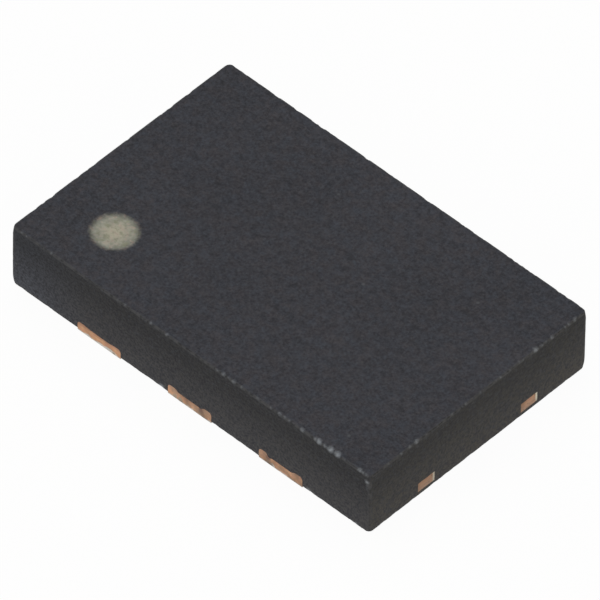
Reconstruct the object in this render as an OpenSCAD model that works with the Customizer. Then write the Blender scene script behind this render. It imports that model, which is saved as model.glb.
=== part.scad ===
// Programmable oscillator in a six-lead moulded package for surface mounting.
// Etched copper leads and a die pad carry a clock chip with a sealed silicon
// resonator stacked on it, joined by gold wires and moulded into black epoxy.
// Lengths are millimetres. The board is the plane z = 0, the origin is under the
// middle of the package, x runs along its long side and lead 1 is at -x, -y.

/* [Moulding] */
// Length of the moulding
body_l = 5.0; // [4.8:0.05:6.0]
// Width of the moulding
body_w = 3.2; // [3.1:0.05:4.0]
// Thickness of the moulding
body_t = 0.83; // [0.76:0.01:1.2]
// Gap between the board and the underside of the moulding
standoff = 0.02; // [0.01:0.005:0.04]
// Radius of the upright corners
corner_r = 0.05; // [0.02:0.01:0.12]
// Bevel along the top edges
top_bevel = 0.015; // [0.005:0.005:0.04]

/* [Pin 1 mark] */
// Diameter of the round mark that the laser cuts near lead 1
mark_d = 0.5; // [0.3:0.02:0.6]
// Distance from the mark's centre to the short side
mark_end_gap = 0.81; // [0.5:0.01:1.2]
// Distance from the mark's centre to the long side
mark_side_gap = 0.665; // [0.5:0.005:1.0]
// Depth of the mark
mark_depth = 0.01; // [0.005:0.005:0.03]

/* [Leads] */
// Distance from one lead to the next along a side
lead_pitch = 1.27; // [1.2:0.01:1.4]
// Width of a lead
lead_w = 0.61; // [0.5:0.01:0.7]
// Clear gap between the leads' tips and the die pad
tip_gap = 0.16; // [0.12:0.01:0.25]
// Thickness of the copper sheet
frame_t = 0.203; // [0.18:0.001:0.23]
// Radius of the two inner corners of a lead
lead_r = 0.08; // [0.03:0.01:0.14]
// Thickness of the thinned end that the saw cuts through, at its shoulders
saw_t = 0.14; // [0.11:0.005:0.16]
// Length of the thinned end
saw_l = 0.08; // [0.05:0.01:0.2]
// Depth of the shallow valley between the shoulders
saw_dip = 0.03; // [0.01:0.002:0.04]
// Width of each shoulder
saw_rim = 0.11; // [0.06:0.01:0.15]
// Radius of the shoulders' outer edges
saw_r = 0.04; // [0.02:0.005:0.06]
// Length of the undercut tip that locks a lead into the moulding
lock_l = 0.08; // [0.07:0.01:0.12]

/* [Die pad] */
// Depth etched away under the die pad, its tie bars and the tips of the leads
under_etch = 0.06; // [0.045:0.005:0.07]
// Margin of the pad past the adhesive, on each side
pad_margin = 0.02; // [0.01:0.005:0.05]
// Clear gap between the wide ends of the pad and the leads
pad_gap = 0.22; // [0.1:0.01:0.25]
// Length of each wide end
wide_end_l = 0.35; // [0.2:0.01:0.36]
// Margin of the wide ends past the tie bars, on each side
wide_end_margin = 0.03; // [0.01:0.01:0.1]
// Radius of the wide ends' corners
pad_r = 0.06; // [0.02:0.01:0.1]
// Width of a tie bar
tie_w = 0.26; // [0.15:0.01:0.3]
// Distance between the two tie bars at one end
tie_pitch = 1.52; // [1.3:0.01:1.6]

/* [Chips] */
// Length of the clock chip
chip_l = 1.5; // [1.4:0.02:1.8]
// Width of the clock chip
chip_w = 0.8; // [0.7:0.01:0.85]
// Thickness of the clock chip
chip_t = 0.2; // [0.15:0.01:0.22]
// Thickness of the adhesive under the clock chip
glue_t = 0.02; // [0.01:0.005:0.03]
// How far the adhesive spreads past the clock chip
glue_spread = 0.04; // [0.02:0.005:0.045]
// Distance of the resonator's middle from the clock chip's middle
res_offset = 0.05; // [0.0:0.01:0.1]
// Thickness of the adhesive film under the resonator
film_t = 0.02; // [0.01:0.005:0.03]
// Length of the resonator's base
res_l = 0.62; // [0.58:0.01:0.7]
// Width of the resonator's base and cap
res_w = 0.46; // [0.42:0.01:0.5]
// Thickness of the resonator's base
res_t = 0.1; // [0.08:0.01:0.12]
// Thickness of the resonator's cap
cap_t = 0.1; // [0.08:0.01:0.12]
// Width of the ledge beside the cap that carries the wire bonds
ledge_w = 0.13; // [0.12:0.01:0.18]
// Thickness of the glass seal between base and cap
seal_t = 0.01; // [0.008:0.001:0.015]
// Width of the seal
seal_w = 0.05; // [0.04:0.005:0.08]
// Depth of the hollow etched into the cap
hollow_t = 0.03; // [0.02:0.005:0.05]
// Length of the vibrating beam
beam_l = 0.12; // [0.08:0.01:0.16]
// Width of the vibrating beam
beam_w = 0.03; // [0.02:0.005:0.05]
// Thickness of the vibrating beam
beam_t = 0.004; // [0.003:0.001:0.006]
// Gap under the vibrating beam
beam_gap = 0.003; // [0.002:0.001:0.005]

/* [Wires] */
// Diameter of the gold wire
wire_d = 0.025; // [0.018:0.001:0.03]
// Diameter of the flattened ball at the start of a wire
ball_d = 0.06; // [0.05:0.005:0.07]
// Height of the flattened ball
ball_h = 0.016; // [0.012:0.001:0.02]
// Length of the pressed tail that a wire ends in
tail_l = 0.07; // [0.055:0.005:0.09]
// Width of the pressed tail
tail_w = 0.05; // [0.04:0.005:0.055]
// Thickness of the pressed tail
tail_t = 0.012; // [0.008:0.001:0.016]
// Rise of the long wires above the clock chip
loop_rise = 0.11; // [0.08:0.01:0.14]
// Rise of the short wires above the resonator's ledge
hop_rise = 0.06; // [0.04:0.01:0.08]
// Reach of the short wires along the clock chip
hop_reach = 0.24; // [0.2:0.01:0.3]
// Reach of the ground wire past the clock chip
ground_reach = 0.32; // [0.25:0.01:0.5]
// Distance of the ground wire from the middle of the package
ground_offset = 0.12; // [0.0:0.01:0.3]
// Distance from a chip's edge to the middle of a bond
bond_inset = 0.06; // [0.05:0.005:0.065]
// Distance from the clock chip's short edges to the bonds of the outer leads
outer_inset = 0.14; // [0.1:0.01:0.2]
// Distance between bonds along the resonator's ledge
bond_pitch = 0.1; // [0.08:0.005:0.12]
// Distance from an outer lead's inner edge to its bond
lead_bond_in = 0.16; // [0.1:0.01:0.3]
// Distance from a lead's tip to its bond
lead_bond_back = 0.14; // [0.12:0.01:0.25]

/* [Hidden] */

leads_a_side = 3;
lead_count = 2 * leads_a_side;
hop_count = 4;                                 // short wires from the resonator
over = 0.05;                                   // how far cutting shapes run past a face
round_fn = 48;                                 // smoothness of every round form
wire_sides = 8;                                // flats round a wire
wire_steps = 12;                               // stretches along a wire

body_top = standoff + body_t;
pad_w = chip_w + 2 * (glue_spread + pad_margin);
tip_y = pad_w / 2 + tip_gap;                   // from the middle of the package to the leads' tips
whole_l = body_w / 2 - tip_y;                  // length of a lead
lead_l = whole_l - lock_l;                     // length of the land that it shows on the underside
step_r = frame_t - saw_t;                      // radius of the etched step behind the thinned end
dip_half = lead_w / 2 - saw_rim;               // half the width of the valley
dip_r = (dip_half * dip_half + saw_dip * saw_dip) / (2 * saw_dip);
wide_end_x = lead_pitch + lead_w / 2 + pad_gap + wide_end_l / 2;
wide_end_w = tie_pitch + tie_w + 2 * wide_end_margin;
chip_z = frame_t + glue_t;
chip_top = chip_z + chip_t;
res_z = chip_top + film_t;
res_top = res_z + res_t;
cap_z = res_top + seal_t;
cap_l = res_l - ledge_w;
cap_x = -res_offset - ledge_w / 2;             // middle of the cap, which leaves the ledge free
ledge_x = -res_offset + res_l / 2 - bond_inset;

copper = [0.76, 0.50, 0.36];
silicon = [0.36, 0.38, 0.44];
gold = [0.86, 0.68, 0.30];

// A rectangle centred on the origin with all four corners rounded
module rounded_rect(l, w, r) {
    square([l - 2 * r, w], center = true);
    square([l, w - 2 * r], center = true);
    for (sx = [-1, 1], sy = [-1, 1])
        translate([sx * (l / 2 - r), sy * (w / 2 - r)]) circle(r, $fn = round_fn);
}

module mould_body() {
    color([0.20, 0.20, 0.22])
        difference() {
            mould_block();
            pin_1_mark();
            moulded_in();
        }
}

// The outside of the moulding: sawn upright walls and a narrow bevel round the top
module mould_block() {
    intersection() {
        translate([0, 0, standoff])
            linear_extrude(body_t) rounded_rect(body_l, body_w, corner_r);
        rotate([90, 0, 0])
            translate([0, 0, -body_w]) linear_extrude(2 * body_w) bevelled_section(body_l);
        rotate([90, 0, 90])
            translate([0, 0, -body_l]) linear_extrude(2 * body_l) bevelled_section(body_w);
    }
}

module bevelled_section(w) {
    polygon([
        [-w / 2, 0], [w / 2, 0], [w / 2, body_top - top_bevel], [w / 2 - top_bevel, body_top],
        [-w / 2 + top_bevel, body_top], [-w / 2, body_top - top_bevel]
    ]);
}

module pin_1_mark() {
    translate([-body_l / 2 + mark_end_gap, -body_w / 2 + mark_side_gap, body_top - mark_depth])
        cylinder(h = mark_depth + over, d = mark_d, $fn = round_fn);
}

// Everything that the epoxy flows round
module moulded_in() {
    for (n = [1:lead_count]) {
        lead(n);
        lead_wire(n);
    }
    die_pad();
    chip_adhesive();
    clock_chip();
    stack_film();
    resonator_outside();
    ground_wire();
    for (n = [1:hop_count]) resonator_wire(n);
}

// The leads are numbered round the package: 1 to 3 along the near side and 4 to 6
// back along the far side, so the far row is the near row turned half round.
function row_turn(n) = n > leads_a_side ? 180 : 0;
function place_in_row(n) = (n - 1) % leads_a_side - (leads_a_side - 1) / 2;

module lead(n) {
    color(copper)
        rotate([0, 0, row_turn(n)])
            translate([place_in_row(n) * lead_pitch, -body_w / 2, 0]) {
                lead_shank();
                saw_end();
            }
}

// A lead behind its thinned end: the plan of the lead, cut to its side profile
module lead_shank() {
    intersection() {
        linear_extrude(frame_t) lead_plan();
        rotate([90, 0, 90]) linear_extrude(2 * lead_w, center = true) lead_profile();
    }
}

// Plan of a lead: square where the saw cuts it, round at its inner corners
module lead_plan() {
    translate([-lead_w / 2, 0]) square([lead_w, whole_l - lead_r]);
    translate([-lead_w / 2 + lead_r, 0]) square([lead_w - 2 * lead_r, whole_l]);
    for (s = [-1, 1])
        translate([s * (lead_w / 2 - lead_r), whole_l - lead_r]) circle(lead_r, $fn = round_fn);
}

// Side profile of a lead, with the round steps that etching leaves above the
// thinned end and below the tip
module lead_profile() {
    difference() {
        translate([saw_l, -over]) square([whole_l, frame_t + 2 * over]);
        translate([saw_l, frame_t]) circle(step_r, $fn = round_fn);
        translate([lead_l + under_etch, 0]) circle(under_etch, $fn = round_fn);
        translate([lead_l + under_etch, -2 * over]) square([whole_l, under_etch + 2 * over]);
    }
}

// The thinned end, a flat bar with a raised round shoulder along each side
module saw_end() {
    translate([0, saw_l, 0]) rotate([90, 0, 0]) linear_extrude(saw_l)
        difference() {
            union() {
                translate([-lead_w / 2, 0]) square([lead_w, saw_t - saw_r]);
                translate([-lead_w / 2 + saw_r, 0]) square([lead_w - 2 * saw_r, saw_t]);
                for (s = [-1, 1])
                    translate([s * (lead_w / 2 - saw_r), saw_t - saw_r])
                        circle(saw_r, $fn = round_fn);
            }
            translate([0, saw_t - saw_dip + dip_r]) circle(dip_r, $fn = 4 * round_fn);
        }
}

// The die pad: narrow between the leads, wide past them, and held at each end by
// two tie bars that the saw cuts through. It is etched away below, so it doesn't
// show on the underside.
module die_pad() {
    color(copper)
        translate([0, 0, under_etch]) linear_extrude(frame_t - under_etch) {
            square([2 * wide_end_x, pad_w], center = true);
            for (s = [-1, 1]) translate([s * wide_end_x, 0]) {
                rounded_rect(wide_end_l, wide_end_w, pad_r);
                for (t = [-1, 1]) tie_bar(s, t);
            }
        }
}

// Plan of a tie bar, from the middle of a wide end to the short side of the package
module tie_bar(s, t) {
    reach = body_l / 2 - wide_end_x;
    translate([s * reach / 2, t * tie_pitch / 2]) square([reach, tie_w], center = true);
}

module chip_adhesive() {
    color([0.62, 0.62, 0.60])
        translate([0, 0, frame_t]) linear_extrude(glue_t)
            rounded_rect(chip_l + 2 * glue_spread, chip_w + 2 * glue_spread, glue_spread);
}

module clock_chip() {
    color(silicon) translate([-chip_l / 2, -chip_w / 2, chip_z]) cube([chip_l, chip_w, chip_t]);
}

module stack_film() {
    color([0.80, 0.74, 0.55])
        translate([-res_offset - res_l / 2, -res_w / 2, chip_top]) cube([res_l, res_w, film_t]);
}

// The resonator's base, with its beam held up at both ends
module resonator_base() {
    color(silicon) {
        resonator_plate();
        translate([cap_x, 0, res_top]) {
            for (s = [-1, 1])
                translate([s * (beam_l - beam_w) / 2 - beam_w / 2, -beam_w / 2, -beam_gap])
                    cube([beam_w, beam_w, 2 * beam_gap]);
            translate([-beam_l / 2, -beam_w / 2, beam_gap]) cube([beam_l, beam_w, beam_t]);
        }
    }
}

module resonator_plate() {
    translate([-res_offset - res_l / 2, -res_w / 2, res_z]) cube([res_l, res_w, res_t]);
}

module resonator_seal() {
    color([0.72, 0.76, 0.70])
        translate([cap_x, 0, res_top]) linear_extrude(seal_t)
            difference() {
                square([cap_l, res_w], center = true);
                inside_seal();
            }
}

module inside_seal() {
    square([cap_l - 2 * seal_w, res_w - 2 * seal_w], center = true);
}

module resonator_cap() {
    color(silicon)
        translate([cap_x, 0, cap_z])
            difference() {
                linear_extrude(cap_t) square([cap_l, res_w], center = true);
                translate([0, 0, -over]) linear_extrude(hollow_t + over) inside_seal();
            }
}

// The outside of the sealed resonator, which keeps the epoxy out of its hollow
module resonator_outside() {
    resonator_plate();
    translate([cap_x, 0, res_top]) linear_extrude(seal_t + cap_t) square([cap_l, res_w], center = true);
}

// A point on the curve that four handles pull, and the curve's direction there
function on_curve(p, t) =
    let (s = 1 - t)
    s * s * s * p[0] + 3 * s * s * t * p[1] + 3 * s * t * t * p[2] + t * t * t * p[3];

function curve_slope(p, t) =
    let (s = 1 - t)
    s * s * (p[1] - p[0]) + 2 * s * t * (p[2] - p[1]) + t * t * (p[3] - p[2]);

function unit(v) = v / norm(v);

// A gold wire from a ball bond at a to a pressed tail at b, which both lie on the
// surfaces that they are bonded to. It leaves the ball upright, turns over at its
// crown and comes down in a long slope.
module bond_wire(a, b, rise) {
    over_ground = [b[0] - a[0], b[1] - a[1], 0];
    flat = unit(over_ground);
    side = cross(flat, [0, 0, 1]);
    crown = [a[0], a[1], a[2] + rise];
    handles = [
        a + [0, 0, ball_h / 2],
        crown + [0, 0, 0.3 * rise],
        crown + 0.42 * over_ground,
        b + [0, 0, wire_d / 2]
    ];
    rings = [
        for (i = [0:wire_steps])
            let (t = i / wire_steps, along = unit(curve_slope(handles, t)), up = cross(side, along))
            [
                for (k = [0:wire_sides - 1])
                    let (turn = 360 * (k + 0.5) / wire_sides)
                    on_curve(handles, t) + wire_d / 2 * (cos(turn) * up + sin(turn) * side)
            ]
    ];
    color(gold) {
        polyhedron(points = [for (ring = rings) each ring], faces = tube_faces());
        translate(a) cylinder(h = ball_h, d = ball_d, $fn = round_fn);
        translate(b) rotate([0, 0, atan2(flat[1], flat[0])]) linear_extrude(tail_t) tail_plan();
    }
}

// Faces of a wire: its two ends, then each flat between two rings as two triangles
function tube_faces() = [
    [for (k = [0:wire_sides - 1]) k],
    [for (k = [0:wire_sides - 1]) (wire_steps + 1) * wire_sides - 1 - k],
    for (i = [0:wire_steps - 1], k = [0:wire_sides - 1])
        let (next = (k + 1) % wire_sides, ring = i * wire_sides, far_ring = ring + wire_sides)
        each [
            [ring + k, far_ring + k, ring + next],
            [ring + next, far_ring + k, far_ring + next]
        ]
];

// Plan of a pressed tail, which is wider than the wire and ends round
module tail_plan() {
    translate([-wire_d / 2, 0]) {
        translate([0, -tail_w / 2]) square([tail_l - tail_w / 2, tail_w]);
        translate([tail_l - tail_w / 2, 0]) circle(d = tail_w, $fn = round_fn);
    }
}

module lead_wire(n) {
    place = place_in_row(n);
    rotate([0, 0, row_turn(n)])
        bond_wire(
            [place * (chip_l / 2 - outer_inset), -chip_w / 2 + bond_inset, chip_top],
            [place * (lead_pitch - lead_w / 2 + lead_bond_in), -tip_y - lead_bond_back, frame_t],
            loop_rise
        );
}

module ground_wire() {
    bond_wire(
        [-chip_l / 2 + bond_inset, ground_offset, chip_top],
        [-chip_l / 2 - ground_reach, ground_offset, frame_t],
        loop_rise
    );
}

module resonator_wire(n) {
    y = (n - (hop_count + 1) / 2) * bond_pitch;
    bond_wire([ledge_x, y, res_top], [ledge_x + hop_reach, y, chip_top], hop_rise);
}

mould_body();
lead(1);  // lead_1
lead(2);  // lead_2
lead(3);  // lead_3
lead(4);  // lead_4
lead(5);  // lead_5
lead(6);  // lead_6
die_pad();
chip_adhesive();
clock_chip();
stack_film();
resonator_base();
resonator_seal();
resonator_cap();
lead_wire(1);  // lead_wire_1
lead_wire(2);  // lead_wire_2
lead_wire(3);  // lead_wire_3
lead_wire(4);  // lead_wire_4
lead_wire(5);  // lead_wire_5
lead_wire(6);  // lead_wire_6
ground_wire();
resonator_wire(1);  // resonator_wire_1
resonator_wire(2);  // resonator_wire_2
resonator_wire(3);  // resonator_wire_3
resonator_wire(4);  // resonator_wire_4
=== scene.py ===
# Programmable oscillator in a flat black package with six leads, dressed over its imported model.
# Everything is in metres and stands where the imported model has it: the board is z = 0, the long
# sides run along x, and lead 1 and the round mark are at -x, -y.

import math
import random

import bmesh
import bpy
import numpy as np
from mathutils import Matrix, Vector, noise


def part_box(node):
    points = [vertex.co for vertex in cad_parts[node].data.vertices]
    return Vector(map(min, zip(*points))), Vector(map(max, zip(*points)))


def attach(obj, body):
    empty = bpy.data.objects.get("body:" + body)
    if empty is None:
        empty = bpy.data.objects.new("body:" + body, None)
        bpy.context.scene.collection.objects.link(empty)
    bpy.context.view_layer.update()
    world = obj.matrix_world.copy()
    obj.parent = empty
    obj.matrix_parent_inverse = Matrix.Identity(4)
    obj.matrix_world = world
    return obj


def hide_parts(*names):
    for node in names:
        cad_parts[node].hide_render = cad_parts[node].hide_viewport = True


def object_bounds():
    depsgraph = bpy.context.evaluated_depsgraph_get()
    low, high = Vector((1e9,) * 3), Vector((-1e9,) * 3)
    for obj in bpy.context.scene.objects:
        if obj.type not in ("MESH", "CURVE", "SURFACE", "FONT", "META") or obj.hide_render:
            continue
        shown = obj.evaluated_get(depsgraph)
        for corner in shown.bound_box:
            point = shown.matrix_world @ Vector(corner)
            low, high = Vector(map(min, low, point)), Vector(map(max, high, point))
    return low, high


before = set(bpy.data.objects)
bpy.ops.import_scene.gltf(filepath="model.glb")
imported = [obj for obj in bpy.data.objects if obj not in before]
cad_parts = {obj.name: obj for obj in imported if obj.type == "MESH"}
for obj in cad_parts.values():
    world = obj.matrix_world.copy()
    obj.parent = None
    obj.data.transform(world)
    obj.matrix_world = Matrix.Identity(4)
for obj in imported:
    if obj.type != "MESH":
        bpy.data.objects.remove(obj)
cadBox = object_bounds()
mm = 0.001
um = 0.000001
print("packed model loaded, nodes:", len(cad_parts))

bodyLow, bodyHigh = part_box("mould_body")
halfLength = bodyHigh.x
halfWidth = bodyHigh.y
bodyTop = bodyHigh.z
bodyBottom = bodyLow.z
bodyHeight = bodyTop - bodyBottom


# Mesh helpers

sharpAngle = 32  # degrees, from which the edge between two faces is a crease


def addObject(name, data):
    thing = bpy.data.objects.new(name, data)
    bpy.context.scene.collection.objects.link(thing)
    return thing


def smoothPiece(piece):
    piece.data.shade_smooth()
    piece.data.set_sharp_from_angle(angle=math.radians(sharpAngle))


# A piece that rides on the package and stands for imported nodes
def makePiece(name, points, faces, finish, replaced):
    mesh = bpy.data.meshes.new(name)
    mesh.from_pydata(points, [], faces)
    piece = addObject(name, mesh)
    smoothPiece(piece)
    mesh.materials.append(finish)
    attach(piece, "root")
    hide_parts(*replaced)
    return piece


def shellObject(name, shell):
    mesh = bpy.data.meshes.new(name)
    shell.to_mesh(mesh)
    shell.free()
    return addObject(name, mesh)


# Faces that join rings of the same number of points, with the first and the last ring closed
def loopFaces(rings, perRing, flipped=False):
    faces = []
    for ring in range(rings - 1):
        start = ring * perRing
        after = start + perRing
        for k in range(perRing):
            following = (k + 1) % perRing
            faces.append((start + k, start + following, after + following, after + k))
    faces.append(tuple(reversed(range(perRing))))
    faces.append(tuple(range((rings - 1) * perRing, rings * perRing)))
    return [face[::-1] for face in faces] if flipped else faces


def paintPoints(mesh, name, values):
    layer = mesh.attributes.new(name, "FLOAT", "POINT")
    layer.data.foreach_set("value", values)


def grainAt(x, y, z, size):
    return noise.noise(Vector((x / size, y / size, z / size)))


def grainOver(points, size, shift=0.0):
    return np.array([noise.noise(Vector(p) / size + Vector((shift, 0, 0))) for p in points])


def ease(value, low, high):
    t = np.clip((value - low) / (high - low), 0, 1)
    return t * t * (3 - 2 * t)


# How far a quarter round of this radius reaches at a distance past its middle
def quarterRound(radius, past):
    return math.sqrt(max(radius ** 2 - past ** 2, 0))


# Material helpers

def emptyTree(owner):
    owner.use_nodes = True
    owner.node_tree.nodes.clear()
    return owner.node_tree


def startFinish(name):
    material = bpy.data.materials.new(name)
    tree = emptyTree(material)
    output = tree.nodes.new("ShaderNodeOutputMaterial")
    surface = tree.nodes.new("ShaderNodeBsdfPrincipled")
    tree.links.new(surface.outputs[0], output.inputs[0])
    place = tree.nodes.new("ShaderNodeTexCoord").outputs["Object"]
    return material, tree, surface, place


def setLook(tree, surface, colour, roughness, metallic=0.0):
    tree.links.new(colour, surface.inputs["Base Color"])
    tree.links.new(roughness, surface.inputs["Roughness"])
    surface.inputs["Metallic"].default_value = metallic


def addNode(tree, kind, inputs, **settings):
    node = tree.nodes.new("ShaderNode" + kind)
    for field, value in settings.items():
        setattr(node, field, value)
    for socket, value in inputs.items():
        if isinstance(value, bpy.types.NodeSocket):
            tree.links.new(value, node.inputs[socket])
        else:
            node.inputs[socket].default_value = value
    return node


def calc(tree, operation, a, b=0.0, c=0.0):
    return addNode(tree, "Math", {0: a, 1: b, 2: c}, operation=operation).outputs[0]


def times(tree, a, b):
    return calc(tree, "MULTIPLY", a, b)


# a * b + c
def timesPlus(tree, a, b, c):
    return calc(tree, "MULTIPLY_ADD", a, b, c)


# Noise from 0 to 1 with features of the given size in metres
def speckle(tree, place, size, detail=2.0, roughness=0.5, stretch=(1, 1, 1), shift=(0, 0, 0)):
    moved = addNode(tree, "Mapping", {"Vector": place, "Location": shift, "Scale": stretch})
    settings = {"Vector": moved.outputs[0], "Scale": 1 / size, "Detail": detail, "Roughness": roughness}
    return addNode(tree, "TexNoise", settings).outputs[0]


# The same value about 0 instead of about a half
def centred(tree, value):
    return calc(tree, "SUBTRACT", value, 0.5)


# 0 below low, 1 above high, and a soft change between them
def fade(tree, value, low, high):
    inputs = {0: value, 1: low, 2: high}
    return addNode(tree, "MapRange", inputs, interpolation_type="SMOOTHSTEP").outputs[0]


# A value that goes evenly from low to high as another goes from start to 1
def between(tree, factor, low, high, start=0.0):
    return addNode(tree, "MapRange", {0: factor, 1: start, 2: 1.0, 3: low, 4: high}).outputs[0]


def blend(tree, factor, first, second):
    inputs = {0: factor}
    for socket, colour in ((6, first), (7, second)):
        inputs[socket] = colour if isinstance(colour, bpy.types.NodeSocket) else (*colour, 1)
    return addNode(tree, "Mix", inputs, data_type="RGBA").outputs[2]


def scaleColour(tree, colour, factor):
    return addNode(tree, "VectorMath", {0: colour, "Scale": factor}, operation="SCALE").outputs[0]


def awayFrom(tree, place, point):
    return addNode(tree, "VectorMath", {0: place, 1: point}, operation="DISTANCE").outputs["Value"]


def paintedOn(tree, name):
    return addNode(tree, "Attribute", {}, attribute_name=name).outputs["Fac"]


def addBump(tree, surface, height, distance):
    bump = addNode(tree, "Bump", {"Height": height, "Distance": distance})
    tree.links.new(bump.outputs[0], surface.inputs["Normal"])


# The three numbers of a place or a colour
def splitUp(tree, vector):
    return addNode(tree, "SeparateXYZ", {0: vector}).outputs


# Distance in from the nearer of the two walls at half and at minus half
def fromWalls(tree, coordinate, half):
    return calc(tree, "SUBTRACT", half, calc(tree, "ABSOLUTE", coordinate))


# The laser's round mark over lead 1

mark = {
    "centre": (-1.69 * mm, -0.935 * mm),
    "radius": 0.25 * mm,
    "depth": 0.010 * mm,
    "slope": 0.05 * mm,  # width of the slope down to the floor
    "rimWander": 4.0 * um,
    "floorWander": 0.8 * um,
    "floorGrain": (24 * um, 10 * um),
    "cell": 0.0065 * mm,  # distance between the rings of points
    "around": 150,  # points in a ring
    "burnFade": (0.288 * mm, 0.192 * mm),  # where the burn starts, and where it is full
    "burnRagged": (0.03 * mm, 0.05 * mm),  # size of the ragged rim's noise, and its reach
    "middle": (0.408, 0.378, 0.285),
    "outer": (0.262, 0.270, 0.226),
    "pink": (0.40, 0.325, 0.26),
    "green": (0.25, 0.25, 0.175),
    "tintSize": 0.07 * mm,
    "burnt": (0.20, 0.185, 0.14),
    "burntSize": 0.040 * mm,
    "blotchSize": 0.1 * mm,
    "blotchShare": 0.3,
    "brightness": 1.02,
}


# The laser has burnt the black skin to beige, palest in the middle. Gives the colour, and where
# the mark is
def addMark(tree, place, colour):
    raggedSize, raggedReach = mark["burnRagged"]
    rim = centred(tree, speckle(tree, place, raggedSize))
    away = awayFrom(tree, place, (*mark["centre"], bodyTop))
    away = timesPlus(tree, rim, raggedReach, away)
    inMark = fade(tree, away, *mark["burnFade"])
    fromMiddle = fade(tree, away, 0.0, mark["radius"])
    beige = blend(tree, fromMiddle, mark["middle"], mark["outer"])
    tint = speckle(tree, place, mark["tintSize"], 2.0, 0.6, shift=(0, 5, 0))
    beige = blend(tree, fade(tree, tint, 0.48, 0.72), beige, mark["pink"])
    beige = blend(tree, fade(tree, tint, 0.54, 0.3), beige, mark["green"])
    burnt = speckle(tree, place, mark["burntSize"], 1.0, shift=(7, 3, 1))
    burnt = timesPlus(tree, fromMiddle, 0.08, burnt)
    beige = blend(tree, fade(tree, burnt, 0.48, 1.08), beige, mark["burnt"])
    blotch = fade(tree, speckle(tree, place, mark["blotchSize"], 2.0, 0.6, shift=(1, 8, 0)), 0.3, 0.7)
    blotch = times(tree, centred(tree, blotch), fromMiddle)
    paler = timesPlus(tree, blotch, mark["blotchShare"], mark["brightness"])
    return blend(tree, inMark, colour, scaleColour(tree, beige, paler)), inMark


# A thin puck whose underside is the dished, rough floor that the laser leaves
def makeMarkCutter():
    cx, cy = mark["centre"]
    outside = mark["radius"] + 0.4 * mark["slope"]
    rings = int(outside / mark["cell"])
    around = mark["around"]
    coarse, fine = mark["floorGrain"]
    shell = bmesh.new()
    loops = []
    for ring in range(1, rings + 1):
        share = ring / rings
        loop = []
        for k in range(around):
            turn = 2 * math.pi * k / around
            wander = grainAt(math.cos(turn), math.sin(turn), 0.5, 0.09) * mark["rimWander"]
            reach = outside * ring / rings + wander * share ** 4
            x = cx + reach * math.cos(turn)
            y = cy + reach * math.sin(turn)
            bumps = grainAt(x, y, 0, coarse) + 0.6 * grainAt(x, y, 0, fine)
            rise = float(ease(share, 1 - mark["slope"] / outside, 1))
            drop = mark["depth"] * (1 - rise) - bumps * mark["floorWander"]
            loop.append(shell.verts.new((x, y, bodyTop - drop + 2.5 * um * rise)))
        loops.append(loop)
    loops.append([shell.verts.new((v.co.x, v.co.y, bodyTop + 0.03 * mm)) for v in loops[-1]])
    for inner, outer in zip(loops, loops[1:]):
        for k in range(around):
            following = (k + 1) % around
            shell.faces.new((inner[k], outer[k], outer[following], inner[following]))
    centre = shell.verts.new((cx, cy, bodyTop - mark["depth"]))
    for k in range(around):
        shell.faces.new((centre, loops[0][k], loops[0][(k + 1) % around]))
    shell.faces.new(loops[-1])
    bmesh.ops.recalc_face_normals(shell, faces=shell.faces)
    return shellObject("markCutter", shell)


# Black moulding epoxy

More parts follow.
